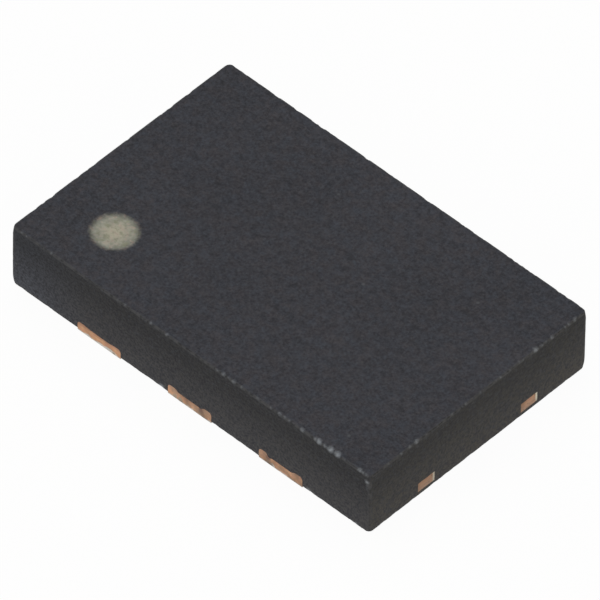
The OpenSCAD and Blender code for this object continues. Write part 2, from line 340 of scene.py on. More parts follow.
mould = {
    "black": (0.0140, 0.0140, 0.0172),
    "dustyWarm": (0.0580, 0.0527, 0.0570),
    "dustyCool": (0.0502, 0.0546, 0.0668),
    "sawn": (0.0452, 0.0434, 0.0428),
    "sawnEnd": (0.0433, 0.0404, 0.0345),
    "paleWallEnd": (-1.25 * mm, -2.3 * mm),  # the long walls are paler between these x
    "paleWallEndShare": 0.8,
    "specular": 0.12,
    "roughness": (0.46, 0.66),
    "cloudSize": 1.1 * mm,
    "cloudShare": 0.2,
    "mottleSize": 0.085 * mm,
    "mottleShare": 0.6,
    "hueSize": 0.12 * mm,
    "grainSize": 0.027 * mm,
    "grainHeight": 3.2 * um,
    "grainOnWall": 0.75,  # how much more the dust shows it on the walls
    "dustBase": 0.25,
    "sawLineSize": 0.012 * mm,
    "sawLineShare": 0.3,
    "scuffColour": (0.048, 0.052, 0.064),
    "scuffSize": 0.042 * mm,
    "scuffShare": 0.4,
    "fleckColour": (0.07, 0.072, 0.076),
    "fleckSpacing": 0.34 * mm,
    "wallFade": (12 * um, 5 * um),  # what is nearer the outside is wall
    # Painted shade and light down the walls: the factor at the top, and at the foot
    "wallShade": (0.62, 1.86),
    "wallShadeStart": 0.2,
    "edgeColour": (0.067, 0.067, 0.0685),
    "edgeWidth": 0.034 * mm,
    "edgePatch": 0.07 * mm,
    # A painted highlight down the upright corners, fuller high up
    "uprightSheen": (0.045 * mm, 0.010 * mm, 1.0),  # where it starts, where it is full, its share
    "uprightSheenFrom": (0.42 * mm, 0.62 * mm),
    "glintAndFleckColour": (0.43, 0.46, 0.49),
    "glintGrain": 0.022 * mm,
    "fullGlintSize": 0.078 * mm,
    "cornerRadius": 0.02 * mm,
    "cornerSteps": 8,
    "tipRadius": 0.06 * mm,  # of the upright corners at their two tips
    "tipReach": 0.11 * mm,
    "edgeRadius": 0.013 * mm,
    "lowerEdgeRadius": 0.005 * mm,
    "sawDepth": 2.4 * um,
    "pointSpacing": 0.0165 * mm,
    "flatFace": 0.1 * mm,  # level faces larger than this across stay flat
    "chipCount": 170,
    "chipLength": (0.02 * mm, 0.06 * mm),
    "chipDepth": (0.007 * mm, 0.020 * mm),
    "lowerShare": 0.45,
    "seed": 11,
    # Where the two top edges nearest the camera are broken, showing pale filler with painted glints:
    # place along the edge, size and depth, in um
    "brokenLong": [
        (-2370, 32, 22), (-2300, 26, 20), (-1950, 31, 22), (-1030, 28, 22), (-920, 30, 22),
        (-560, 38, 26), (-330, 38, 26), (370, 31, 24), (455, 41, 27), (530, 30, 24), (600, 41, 27),
        (710, 34, 25), (930, 34, 25), (1120, 29, 24), (1240, 42, 28), (1310, 34, 26), (1370, 33, 25),
        (1430, 26, 22), (1550, 47, 30), (1740, 44, 30), (1780, 58, 34), (1865, 42, 30), (1940, 63, 37),
        (2035, 62, 37), (2140, 27, 24), (2350, 46, 27), (2395, 40, 28), (2440, 38, 28),
    ],
    "brokenShort": [
        (-1330, 30, 22), (-1140, 36, 25), (-1010, 34, 24), (-910, 46, 27), (-770, 26, 22),
        (-380, 31, 23), (-240, 30, 22), (-190, 32, 23), (-90, 28, 22), (30, 31, 23), (260, 28, 22),
        (320, 33, 24), (460, 28, 22), (610, 35, 24), (660, 30, 23), (850, 52, 30), (940, 36, 26),
        (1010, 34, 25), (1090, 41, 27), (1280, 33, 24), (1340, 35, 24), (1430, 42, 26),
    ],
    # Painted glints on the upright corner between them, and pale flecks of burr on the foot of the long
    # wall: height or place along the edge, and size, in um
    "glintsUpright": [(748, 46), (690, 26), (640, 24)],
    "flecksFoot": [(-390, 64), (1660, 58), (2320, 50)],
}


# How thickly dust lies on the black epoxy
def dustShare(tree, place, mottle, grain, onWall):
    cloud = speckle(tree, place, mould["cloudSize"], 3.0)
    dust = timesPlus(tree, cloud, mould["cloudShare"], mould["dustBase"])
    dust = timesPlus(tree, mottle, mould["mottleShare"], dust)
    contrast = timesPlus(tree, onWall, mould["grainOnWall"], 1.0)
    dust = timesPlus(tree, centred(tree, grain), contrast, dust)
    return fade(tree, dust, 0.3, 1.0)


# The dust varies on the skin, and is even and browner where the saw has cut
def dustColour(tree, place, x, onEnd, onWall):
    hue = speckle(tree, place, mould["hueSize"], 3.0, 0.75, shift=(2, 0, 4))
    skin = blend(tree, fade(tree, hue, 0.3, 0.7), mould["dustyWarm"], mould["dustyCool"])
    paleWallEnd = times(tree, fade(tree, x, *mould["paleWallEnd"]), mould["paleWallEndShare"])
    wall = blend(tree, paleWallEnd, mould["sawn"], mould["dustyCool"])
    wall = blend(tree, onEnd, wall, mould["sawnEnd"])
    return blend(tree, onWall, skin, wall)


# Painted shade and light: the walls are painted dark below the top edge and paler toward the underside
def shadeWalls(tree, colour, z, onWall):
    down = calc(tree, "DIVIDE", calc(tree, "SUBTRACT", bodyTop, z), bodyHeight)
    shade = between(tree, down, *mould["wallShade"], start=mould["wallShadeStart"])
    shade = timesPlus(tree, calc(tree, "SUBTRACT", shade, 1.0), onWall, 1.0)
    return scaleColour(tree, colour, shade)


# Faint scuffs, and grains of filler that show on the surface here and there
def addScuffs(tree, place, colour):
    for stretch, shift in (((0.4, 1, 1), (1, 0, 0)), ((1, 0.4, 1), (0, 2, 0)), ((1, 1, 1), (0, 0, 6))):
        scuff = speckle(tree, place, mould["scuffSize"], 3.0, 0.65, stretch=stretch, shift=shift)
        scuffed = times(tree, fade(tree, scuff, 0.54, 0.74), mould["scuffShare"])
        colour = blend(tree, scuffed, colour, mould["scuffColour"])
    fleck = addNode(tree, "TexVoronoi", {"Vector": place, "Scale": 1 / mould["fleckSpacing"]})
    picked = splitUp(tree, fleck.outputs["Color"])[0]
    shown = times(tree, fade(tree, picked, 0.5, 0.8), fade(tree, fleck.outputs[0], 0.08, 0.02))
    return blend(tree, shown, colour, mould["fleckColour"])


# Edges, which are worn paler than the skin and painted paler still as a sheen, and show pale filler with
# painted glints where they are broken
def addEdgeWearAndSheen(tree, place, colour):
    patchy = speckle(tree, place, mould["edgePatch"], 3.0, 0.65, shift=(3, 0, 0))
    patchy = timesPlus(tree, fade(tree, patchy, 0.36, 0.6), 0.75, 0.25)
    wearAndSheen = times(tree, paintedOn(tree, "wearAndSheen"), patchy)
    colour = blend(tree, wearAndSheen, colour, mould["edgeColour"])
    # Painted glints over pale filler at the broken spots, and pale flecks at the foot
    ragged = speckle(tree, place, mould["glintGrain"], 2.0, 0.6, shift=(0, 4, 0))
    glintAndFleck = timesPlus(tree, centred(tree, ragged), 0.35, paintedOn(tree, "glintAndFleck"))
    return blend(tree, fade(tree, glintAndFleck, 0.1, 1.0), colour, mould["glintAndFleckColour"])


def makeEpoxy():
    material, tree, surface, place = startFinish("moulded epoxy")
    x, y, z = splitUp(tree, place)
    fromEnd = fromWalls(tree, x, halfLength)
    fromSide = fromWalls(tree, y, halfWidth)
    onEnd = fade(tree, fromEnd, *mould["wallFade"])
    onWall = fade(tree, calc(tree, "MINIMUM", fromEnd, fromSide), *mould["wallFade"])
    mottle = speckle(tree, place, mould["mottleSize"], 3.0, 0.6)
    grain = speckle(tree, place, mould["grainSize"], 3.0, 0.65)

    dust = dustShare(tree, place, mottle, grain, onWall)
    colour = blend(tree, dust, mould["black"], dustColour(tree, place, x, onEnd, onWall))
    colour = shadeWalls(tree, colour, z, onWall)
    colour = addScuffs(tree, place, colour)
    colour = addEdgeWearAndSheen(tree, place, colour)
    colour, inMark = addMark(tree, place, colour)
    setLook(tree, surface, colour, between(tree, mottle, *mould["roughness"]))
    surface.inputs["Specular IOR Level"].default_value = mould["specular"]

    # Saw lines run along the walls, and the rest of the skin has the matt grain of the mould
    squeeze = 12.0
    lines = addNode(tree, "CombineXYZ", {0: x, 1: y, 2: times(tree, z, squeeze)})
    lines = speckle(tree, lines.outputs[0], squeeze * mould["sawLineSize"])
    height = times(tree, grain, timesPlus(tree, inMark, -0.65, 1.0))
    lines = times(tree, lines, onWall)
    height = timesPlus(tree, lines, mould["sawLineShare"], height)
    addBump(tree, surface, height, mould["grainHeight"])
    return material


# The loop that every ring of the moulding follows: middles of the bends, and directions out of them
def bodyLoop():
    radius = mould["cornerRadius"]
    straights = (2 * (halfLength - radius), 2 * (halfWidth - radius))
    counts = [round(s / mould["pointSpacing"]) for s in straights]
    bendSteps = mould["cornerSteps"]
    middles = []
    outward = []
    corners = [(1, -1), (1, 1), (-1, 1), (-1, -1)]
    for side, (cx, cy) in enumerate(corners):
        px, py = corners[side - 1]
        count = counts[side % 2]
        turn = math.radians(90 * (side - 1))
        for k in range(count):  # along the side that leads to this corner
            t = k / count
            middles.append((px + (cx - px) * t, py + (cy - py) * t))
            outward.append((math.cos(turn), math.sin(turn)))
        for k in range(bendSteps):  # round the corner
            bend = turn + math.radians(90) * k / bendSteps
            middles.append((cx, cy))
            outward.append((math.cos(bend), math.sin(bend)))
    return np.array(middles), np.array(outward)


# The rings, as distance in from the wall and depth below the top: outward over the top, down the
# wall, and in again underneath
def bodyRows():
    fine = np.array([3.5, 7, 11, 15, 19, 24, 29, 35, 42, 50, 60]) * um
    wide = np.array([75, 100, 140, 220, 330]) * um
    rows = [(d, 0.0) for d in np.concatenate([fine, wide])[::-1]]
    rows.append((0.0, 0.0))
    rows += [(0.0, h) for h in fine]
    rows += [(0.0, h) for h in np.arange(80 * um, bodyHeight - 30 * um, 24 * um)]
    rows += [(0.0, bodyHeight - h * um) for h in (22, 15, 10, 6, 3)]
    rows.append((0.0, bodyHeight))
    rows += [(d * um, bodyHeight) for d in (3, 6, 10, 15, 30, 80)]
    return rows


# Points on the moulding, whose upright corners are rounder at their tips
def bodyPoints(middles, outward, inset, depth):
    radius = mould["cornerRadius"]
    fromTip = np.minimum(depth, bodyHeight - depth) / mould["tipReach"]
    swell = (mould["tipRadius"] - radius) * np.clip(1 - fromTip, 0, 1) ** 1.5
    bend = np.maximum(radius + swell - inset, 15 * um)
    x = middles[:, 0] * (halfLength - inset - bend) + outward[:, 0] * bend
    y = middles[:, 1] * (halfWidth - inset - bend) + outward[:, 1] * bend
    return np.stack([x, y, bodyTop - depth], axis=1)


# The listed broken spots of the two edges as x, y, size and depth
def brokenSpots():
    spots = [(x * um, -halfWidth, size * um, deep * um) for x, size, deep in mould["brokenLong"]]
    spots += [(halfLength, y * um, size * um, deep * um) for y, size, deep in mould["brokenShort"]]
    return spots


# How deep the edge is broken at each point of the loop
def edgeWear(loopPoints, listed, seed):
    rng = random.Random(seed)
    wear = np.zeros(len(loopPoints))
    chips = []
    for _ in range(mould["chipCount"]):
        spot = loopPoints[rng.randrange(len(loopPoints))]
        chips.append((*spot, rng.uniform(*mould["chipLength"]), rng.uniform(*mould["chipDepth"])))
    for x, y, length, depth in chips + listed:
        away = np.hypot(loopPoints[:, 0] - x, loopPoints[:, 1] - y) / length
        scoop = depth * np.sqrt(np.clip(1 - away ** 2, 0, 1))
        wear = np.maximum(wear, scoop)
    return wear


# Rounds an edge off, then breaks the scoops out of it
def softenEdge(inset, depth, roundness, cut):
    a = np.clip(roundness - inset, 0, None)
    b = np.clip(roundness - depth, 0, None)
    far = np.maximum(np.hypot(a, b), 1e-12)
    both = (a > 0) & (b > 0)
    inset = np.where(both, roundness - a * roundness / far, inset)
    depth = np.where(both, roundness - b * roundness / far, depth)
    bite = np.clip((cut - inset - depth) / 2, 0, None)
    return inset + bite, depth + bite


def makeMoulding(finish):
    middles, outward = bodyLoop()
    perRing = len(middles)
    rows = bodyRows()
    middles = np.tile(middles, (len(rows), 1))
    outward = np.tile(outward, (len(rows), 1))
    inset = np.repeat([row[0] for row in rows], perRing)
    depth = np.repeat([row[1] for row in rows], perRing)
    start = bodyPoints(middles, outward, inset, depth)

    topEdge = rows.index((0.0, 0.0)) * perRing
    loopPoints = start[topEdge:topEdge + perRing, :2]
    ragged = 1 + 0.25 * grainOver(start, 30 * um) + 0.15 * grainOver(start, 11 * um)
    upperWear = np.tile(edgeWear(loopPoints, brokenSpots(), mould["seed"]), len(rows))
    lowerWear = np.tile(edgeWear(loopPoints, [], mould["seed"] + 1), len(rows)) * mould["lowerShare"]
    inset, depth = softenEdge(inset, depth, mould["edgeRadius"], upperWear * ragged)
    rise = bodyHeight - depth
    inset, rise = softenEdge(inset, rise, mould["lowerEdgeRadius"], lowerWear * ragged)
    depth = bodyHeight - rise

    # The saw leaves the walls faintly ridged along their length
    ridges = grainOver(start * np.array([0.12, 0.12, 1]), 35 * um, 9.0)
    wander = grainOver(start, 90 * um, 4.0)
    onWall = ease(depth, 0, 90 * um) * ease(-inset, -60 * um, -20 * um)
    inset = inset + onWall * mould["sawDepth"] * (0.5 + 0.35 * ridges + 0.3 * wander)
    points = bodyPoints(middles, outward, inset, depth)
    faces = loopFaces(len(rows), perRing, flipped=True)
    return makePiece("mouldedBody", points.tolist(), faces, finish, ["mould_body"])


epoxy = makeEpoxy()
mouldedBody = makeMoulding(epoxy)
print("moulding made, points:", len(mouldedBody.data.vertices))


# What the sawn copper of the leads and of the die pad's bars has in common

sawnCopper = {
    "sawnFade": (9 * um, 5 * um),  # what is nearer the outside is sawn
    "streakSize": 0.014 * mm,
    "streakStretch": (0.12, 0.12, 1),
    "patchSize": 0.05 * mm,
    "fineGrain": 0.008 * mm,
    "relief": 0.8 * um,
}


# Patches of the piece's own two or three coppers, dulled in streaks along the saw's path
def copperColour(tree, place, own):
    streaks = speckle(tree, place, sawnCopper["streakSize"], stretch=sawnCopper["streakStretch"])
    patches = speckle(tree, place, sawnCopper["patchSize"], 2.0, 0.55)
    colour = blend(tree, fade(tree, patches, 0.52, 0.7), own["copper"], own["rosy"])
    colour = blend(tree, fade(tree, patches, 0.42, 0.28), colour, own["brassy"])
    dulled = times(tree, fade(tree, streaks, 0.45, 0.75), 0.55)
    return blend(tree, dulled, colour, own["dull"]), streaks, patches


def addCopperRelief(tree, surface, place, height):
    fineGrain = speckle(tree, place, sawnCopper["fineGrain"])
    addBump(tree, surface, calc(tree, "ADD", height, fineGrain), sawnCopper["relief"])


# Copper leads, sawn through at the walls and tinned underneath

leads = {
    "copper": (0.520, 0.280, 0.155),
    "rosy": (0.520, 0.262, 0.177),
    "brassy": (0.530, 0.345, 0.176),
    "dull": (0.262, 0.143, 0.083),
    "roughness": (0.36, 0.55),
    "tin": (0.62, 0.60, 0.555),
    "tinShade": (0.45, 0.43, 0.39),
    "tinStain": (0.50, 0.43, 0.33),
    "tinRoughness": (0.38, 0.62),
    "tinGrain": 0.011 * mm,
    "tinFrom": (23 * um, 19 * um),  # the land's tin starts between these heights
    "stainSize": 0.3 * mm,
    "smearSize": 0.13 * mm,
    "smearTop": (-0.1 * mm, 0.14 * mm),  # lowest and highest top of the dragged tin
    "smearLip": (0.008 * mm, 0.03 * mm),
    "shadedTop": (0.310, 0.168, 0.110),
    "shadedFrom": (0.075 * mm, 0.135 * mm),
    "tarnish": (0.255, 0.165, 0.110),
    "tarnishSize": 0.11 * mm,
    "dullness": {1: 0.1, 2: 0.85, 3: 1.0, 4: 0.2, 5: 0.6, 6: 0.1},  # share of each lead tarnished
    "unevenSize": 0.12 * mm,
    "uneven": (0.7, 0.8),  # of every lead, and more on the dull ones
    # Where the saw has dragged tin across the copper of the near leads, and where the copper is
    # torn and dark: x, height and size, in um
    "smudge": (0.300, 0.250, 0.185),
    "smudges": [(-200, 30, 40), (-130, 28, 42), (145, 50, 36), (200, 12, 30), (1100, 40, 30),
                (1420, 6, 26), (-1060, 12, 30)],
    "scar": (0.185, 0.105, 0.075),
    "scars": [(160, 85, 38), (1095, 85, 40)],
    "width": 0.61 * mm,
    "sheet": 0.203 * mm,  # thickness of the copper
    "landLength": 0.90 * mm,
    "undercut": 0.06 * mm,
    "tipRadius": 0.08 * mm,
    "thinLength": 0.08 * mm,
    "shoulderHeight": 0.14 * mm,
    "shoulderWidth": 0.11 * mm,
    "shoulderRadius": 0.04 * mm,
    "valleyDepth": 0.03 * mm,
    "valleyFlat": 0.14 * mm,
    "flatter": {1: 0.012 * mm, 4: 0.006 * mm},  # how much lower a lead's shoulders are
    "notches": {2: (0.155 * mm, 0.04 * mm, 0.010 * mm), 3: (-0.165 * mm, 0.045 * mm, 0.020 * mm)},
    "lip": 3.5 * um,
    "burr": 2.2 * um,
    "burrSize": 22 * um,
    "landEdge": 8.0 * um,
    "acrossSteps": 72,
    "sideSteps": 6,
}


# A colour with ragged round blots of another at the listed places on the near long wall
def addBlots(tree, place, patches, spots, colour, blot):
    ragged = timesPlus(tree, patches, 0.8, -0.4)
    for x, up, size in spots:
        away = awayFrom(tree, place, (x * um, -halfWidth, up * um))
        near = calc(tree, "ADD", calc(tree, "DIVIDE", away, size * um), ragged)
        colour = blend(tree, fade(tree, near, 1.1, 0.35), colour, blot)
    return colour


# Tin covers the land underneath, and the saw drags a little of it up the sawn end. Gives the
# colour, where the tin is, and its crystals
def addTin(tree, place, colour, height, sawn, streaks):
    smear = speckle(tree, place, leads["smearSize"], stretch=(1, 1, 0.4), shift=(0.3, 0, 0))
    smearTop = between(tree, smear, *leads["smearTop"])
    smearTop = calc(tree, "MAXIMUM", smearTop, between(tree, streaks, *leads["smearLip"]))
    smeared = fade(tree, calc(tree, "SUBTRACT", smearTop, height), -5 * um, 15 * um)
    land = fade(tree, height, *leads["tinFrom"])
    land = times(tree, land, calc(tree, "SUBTRACT", 1.0, sawn))
    tinned = calc(tree, "MAXIMUM", land, times(tree, smeared, sawn))
    crystals = speckle(tree, place, leads["tinGrain"], 2.0, 0.6, shift=(0, 6, 0))
    tin = blend(tree, fade(tree, crystals, 0.62, 0.36), leads["tin"], leads["tinShade"])
    stain = fade(tree, speckle(tree, place, leads["stainSize"], 4.0, 0.6, shift=(5, 0, 0)), 0.5, 0.75)
    tin = blend(tree, times(tree, stain, 0.5), tin, leads["tinStain"])
    return blend(tree, tinned, colour, tin), tinned, crystals


# Tarnish, and places that the saw has smeared paler or torn darker, most on the dull leads
def addTarnish(tree, place, colour, sawn):
    dullness = paintedOn(tree, "dullness")
    blotches = speckle(tree, place, leads["tarnishSize"], 3.0, 0.6, shift=(0, 0, 2))
    dulled = times(tree, dullness, fade(tree, blotches, 0.28, 0.68))
    colour = blend(tree, times(tree, dulled, sawn), colour, leads["tarnish"])
    onEach, onDull = leads["uneven"]
    uneven = centred(tree, speckle(tree, place, leads["unevenSize"], 1.0, shift=(4, 0, 1)))
    uneven = times(tree, uneven, timesPlus(tree, dullness, onDull, onEach))
    return scaleColour(tree, colour, timesPlus(tree, uneven, sawn, 1.0))


def makeLeadCopper():
    material, tree, surface, place = startFinish("sawn copper lead")
    y, z = splitUp(tree, place)[1:]
    sawn = fade(tree, fromWalls(tree, y, halfWidth), *sawnCopper["sawnFade"])
    colour, streaks, patches = copperColour(tree, place, leads)
    colour, tinned, crystals = addTin(tree, place, colour, z, sawn, streaks)
    shade = times(tree, fade(tree, z, *leads["shadedFrom"]), sawn)
    colour = blend(tree, shade, colour, leads["shadedTop"])
    colour = addBlots(tree, place, patches, leads["smudges"], colour, leads["smudge"])
    colour = addTarnish(tree, place, colour, sawn)
    colour = addBlots(tree, place, patches, leads["scars"], colour, leads["scar"])
    rough = addNode(tree, "Mix", {0: tinned, 2: between(tree, patches, *leads["roughness"]),
                                  3: between(tree, crystals, *leads["tinRoughness"])}).outputs[0]
    setLook(tree, surface, colour, rough, metallic=1.0)
    height = timesPlus(tree, times(tree, crystals, tinned), 2.0, streaks)
    addCopperRelief(tree, surface, place, height)
    return material


# Height of a lead's top at a distance across and a distance in from the sawn end
def leadTop(across, inward, flatter, notch):
    half = leads["width"] / 2
    corner = leads["shoulderRadius"]
    valley = half - leads["shoulderWidth"]
    u = abs(across)
    top = leads["shoulderHeight"]
    if u > half - corner:
        top += quarterRound(corner, u - half + corner) - corner
    dip = float(1 - ease(u, leads["valleyFlat"], valley + 0.02 * mm))
    top -= leads["valleyDepth"] * dip + flatter * (1 - 1.4 * dip)
    if notch:
        notchAt, width, depth = notch
        top -= depth * float(1 - ease(abs(across - notchAt), 0, width))
    if inward <= leads["thinLength"]:
        return top
    step = leads["sheet"] - leads["shoulderHeight"]
    past = inward - leads["thinLength"]
    behind = leads["sheet"] - quarterRound(step, past)
    weight = float(ease(past, 0, step))
    return top * (1 - weight) + behind * weight


# Distances in from the sawn end at which a lead has a ring of points
def leadStations(whole):
    thin = leads["thinLength"]
    radius = leads["tipRadius"]
    tipStart = whole - radius
    stations = [0.0, leads["lip"], 10 * um, 25 * um, 50 * um, thin]
    stations += [thin + k * 9 * um for k in range(1, 8)]
    stations += [0.3 * mm, 0.6 * mm, tipStart]
    stations += [tipStart + radius * math.sin(math.radians(a)) for a in range(10, 90, 10)]
    return stations + [whole - 0.5 * um]


# One ring round a lead, as places across it and heights
def leadRing(inward, whole, flatter, notch):
    half = leads["width"] / 2
    edge = leads["landEdge"]
    acrossSteps = leads["acrossSteps"]
    sideSteps = leads["sideSteps"]
    pull = leads["lip"] if inward == 0 else 0.0  # the sawn end has a narrow rounded lip
    past = max(inward - (whole - leads["tipRadius"]), 0)
    wide = half - leads["tipRadius"] + quarterRound(leads["tipRadius"], past) - pull
    under = inward - leads["landLength"]
    bottom = quarterRound(leads["undercut"], min(under - leads["undercut"], 0)) if under > 0 else 0.0
    low = bottom + edge
    sideTop = leadTop(half, inward, flatter, notch) - pull
    ring = []
    for k in range(acrossSteps + 1):  # along the underside
        ring.append((-wide + edge + (2 * wide - 2 * edge) * k / acrossSteps, bottom + pull))
    ring.append((wide - 0.3 * edge, bottom + pull + 0.3 * edge))
    for k in range(sideSteps):  # up the right side
        ring.append((wide, low + (sideTop - low) * k / sideSteps))
    for k in range(acrossSteps + 1):  # back over the top
        u = half * math.cos(math.pi * k / acrossSteps)
        ring.append((u * wide / half, leadTop(u, inward, flatter, notch) - pull))
    for k in range(1, sideSteps + 1):  # down the left side
        ring.append((-wide, sideTop + (low - sideTop) * k / sideSteps))
    ring.append((-wide + 0.3 * edge, bottom + pull + 0.3 * edge))
    return ring


def makeLead(number, finish):
    node = f"lead_{number}"
    low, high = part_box(node)
    middleX = (low.x + high.x) / 2
    turned = -1 if low.y > 0 else 1  # the far row is the near row turned half round
    whole = high.y - low.y
    flatter = leads["flatter"].get(number, 0.0)
    notch = leads["notches"].get(number)
    stations = leadStations(whole)
    points = []
    for inward in stations:
        ring = leadRing(inward, whole, flatter, notch)
        burr = leads["burr"] * max(1 - inward / leads["thinLength"], 0)
        for u, z in ring:
            lift = grainAt(u + middleX * 3, z, turned, leads["burrSize"]) * burr if z > 40 * um else 0.0
            points.append((middleX + turned * u, turned * (-halfWidth + inward), z + lift))
    faces = loopFaces(len(stations), len(ring), flipped=True)
    lead = makePiece(f"copperLead{number}", points, faces, finish, [node])
    paintPoints(lead.data, "dullness", [leads["dullness"][number]] * len(points))
    return lead


# Die pad, whose tie bars are sawn through at the short walls

padPlate = {
    "copper": (0.375, 0.220, 0.135),
    "rosy": (0.385, 0.215, 0.145),
    "brassy": (0.175, 0.112, 0.074),
    "dull": (0.175, 0.112, 0.074),
    "dullShare": 0.7,
    "duller": 0.5,  # how dull the bars at -y are all over
    "roughness": (0.42, 0.6),
    "paleLipAndSheen": (0.50, 0.465, 0.37),
    "paleWidth": 42 * um,
    "greyBelow": (120 * um, 60 * um),  # height under which a bar is greyer
    "greyAcross": (-20 * um, -140 * um),  # and where across it, away from the pale lip
    "barPitch": 1.52 * mm,
    "barWidth": 0.26 * mm,
    "wideX": (1.795 * mm, 2.145 * mm),  # where the wide ends start and stop
    "wideHalf": 0.92 * mm,
    "wideRadius": 0.06 * mm,
    "margin": 0.02 * mm,  # past the adhesive, between the wide ends
    "lip": 12.0 * um,
    "rootRadius": 0.02 * mm,
    "barRoot": 0.008 * mm,
    "barCorner": 0.014 * mm,
}


def makeBarCopper():
    material, tree, surface, place = startFinish("sawn copper tie bar")
    x, y, z = splitUp(tree, place)
    sawn = fade(tree, fromWalls(tree, x, halfLength), *sawnCopper["sawnFade"])
    colour, streaks, patches = copperColour(tree, place, padPlate)
    # The saw has turned a pale lip over one edge of each bar, painted paler as a sheen, and the rest is
    # greyer low down and away from that lip
    overBar = calc(tree, "SUBTRACT", calc(tree, "ABSOLUTE", y), padPlate["barPitch"] / 2)
    alongBar = times(tree, overBar, calc(tree, "SIGN", y))
    paleStart = padPlate["barWidth"] / 2 - padPlate["paleWidth"]
    pale = times(tree, fade(tree, alongBar, paleStart, paleStart + 12 * um), sawn)
    colour = blend(tree, pale, colour, padPlate["paleLipAndSheen"])
    grey = times(tree, fade(tree, z, *padPlate["greyBelow"]), fade(tree, patches, 0.25, 0.65))
    grey = calc(tree, "MAXIMUM", grey, fade(tree, alongBar, *padPlate["greyAcross"]))
    onDuller = times(tree, fade(tree, y, 0.1 * mm, -0.1 * mm), padPlate["duller"])
    grey = calc(tree, "MAXIMUM", grey, onDuller)
    grey = times(tree, grey, padPlate["dullShare"])
    colour = blend(tree, grey, colour, padPlate["dull"])
    setLook(tree, surface, colour, between(tree, patches, *padPlate["roughness"]), metallic=1.0)
    addCopperRelief(tree, surface, place, streaks)
    return material


# An outline with each corner rounded: corners are (x, y, radius), anticlockwise
def softOutline(corners):
    outline = []
    steps = 8
    for k, (x, y, radius) in enumerate(corners):
        here = Vector((x, y))
        before = (Vector(corners[k - 1][:2]) - here).normalized()
        after = (Vector(corners[(k + 1) % len(corners)][:2]) - here).normalized()
        centre = here + (before + after) * radius
        for i in range(steps + 1):
            t = math.radians(90 * i / steps)
            outline.append(centre - after * radius * math.cos(t) - before * radius * math.sin(t))
    return outline


# The outline moved in by a small distance
def shrunk(outline, distance):
    moved = []
    for k, here in enumerate(outline):
        ahead = (outline[(k + 1) % len(outline)] - here).normalized()
        behind = (here - outline[k - 1]).normalized()
        inward = Vector((-ahead.y - behind.y, ahead.x + behind.x))
        moved.append(here + inward * distance / max(1 + ahead.dot(behind), 0.2))
    return moved


def makePad(finish):
    low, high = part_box("die_pad")
    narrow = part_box("chip_adhesive")[1].y + padPlate["margin"]
    inner, outer = padPlate["wideX"]
    barLow = (padPlate["barPitch"] - padPlate["barWidth"]) / 2
    barHigh = barLow + padPlate["barWidth"]
    root = padPlate["rootRadius"]
    soft = padPlate["barCorner"]
    quarter = [
        (outer, barLow, root), (high.x, barLow, soft), (high.x, barHigh, soft),
        (outer, barHigh, padPlate["barRoot"]), (outer, padPlate["wideHalf"], root),
        (inner, padPlate["wideHalf"], padPlate["wideRadius"]), (inner, narrow, root),
    ]
    corners = list(quarter)
    corners += [(-x, y, radius) for x, y, radius in reversed(quarter)]
    corners += [(-x, -y, radius) for x, y, radius in quarter]
    corners += [(x, -y, radius) for x, y, radius in reversed(quarter)]
    outline = softOutline(corners)
    lip = padPlate["lip"]
    levels = [
        (low.z, lip), (low.z + 0.3 * lip, 0.3 * lip), (low.z + lip, 0.0),
        (high.z - lip, 0.0), (high.z - 0.3 * lip, 0.3 * lip), (high.z, lip),
    ]
    points = []
    for z, distance in levels:
        points += [(p.x, p.y, z) for p in (shrunk(outline, distance) if distance else outline)]
    faces = loopFaces(len(levels), len(outline))
    return makePiece("copperPad", points, faces, finish, ["die_pad"])


leadCopper = makeLeadCopper()
barCopper = makeBarCopper()
copperLeads = [makeLead(number, leadCopper) for number in range(1, 7)]
copperPad = makePad(barCopper)
print("leads and die pad made, points:", sum(len(o.data.vertices) for o in [*copperLeads, copperPad]))


# Pockets in the moulding for everything sealed in it, and the laser's mark in its top

def looseCopy(piece, name):
    mesh = piece.data.copy()
    shell = bmesh.new()
    shell.from_mesh(mesh)
    bmesh.ops.remove_doubles(shell, verts=shell.verts, dist=1e-8)
    shell.to_mesh(mesh)
    shell.free()
    return addObject(name, mesh)


def boxBetween(name, low, high):
    shell = bmesh.new()
    bmesh.ops.create_cube(shell, size=1)
    shell.transform(Matrix.Translation((low + high) / 2) @ Matrix.Diagonal((*(high - low), 1)))
    return shellObject(name, shell)


# Joins the others to a piece or cuts them out of it, and tidies the points that this leaves
def combine(piece, others, operation):
    for other in others:
        step = piece.modifiers.new("combine", "BOOLEAN")
        step.operation = operation
        step.solver = "MANIFOLD"
        step.object = other
    bpy.context.view_layer.update()
    shaped = piece.evaluated_get(bpy.context.evaluated_depsgraph_get())
    mesh = bpy.data.meshes.new_from_object(shaped)
    shell = bmesh.new()
    shell.from_mesh(mesh)
    bmesh.ops.dissolve_degenerate(shell, edges=shell.edges, dist=0.1 * um)
    idle = [vert for vert in shell.verts if len(vert.link_edges) == 2]
    bmesh.ops.dissolve_verts(shell, verts=idle)
    shell.to_mesh(mesh)
    shell.free()
    piece.modifiers.clear()
    piece.data = mesh
    for other in others:
        bpy.data.objects.remove(other)


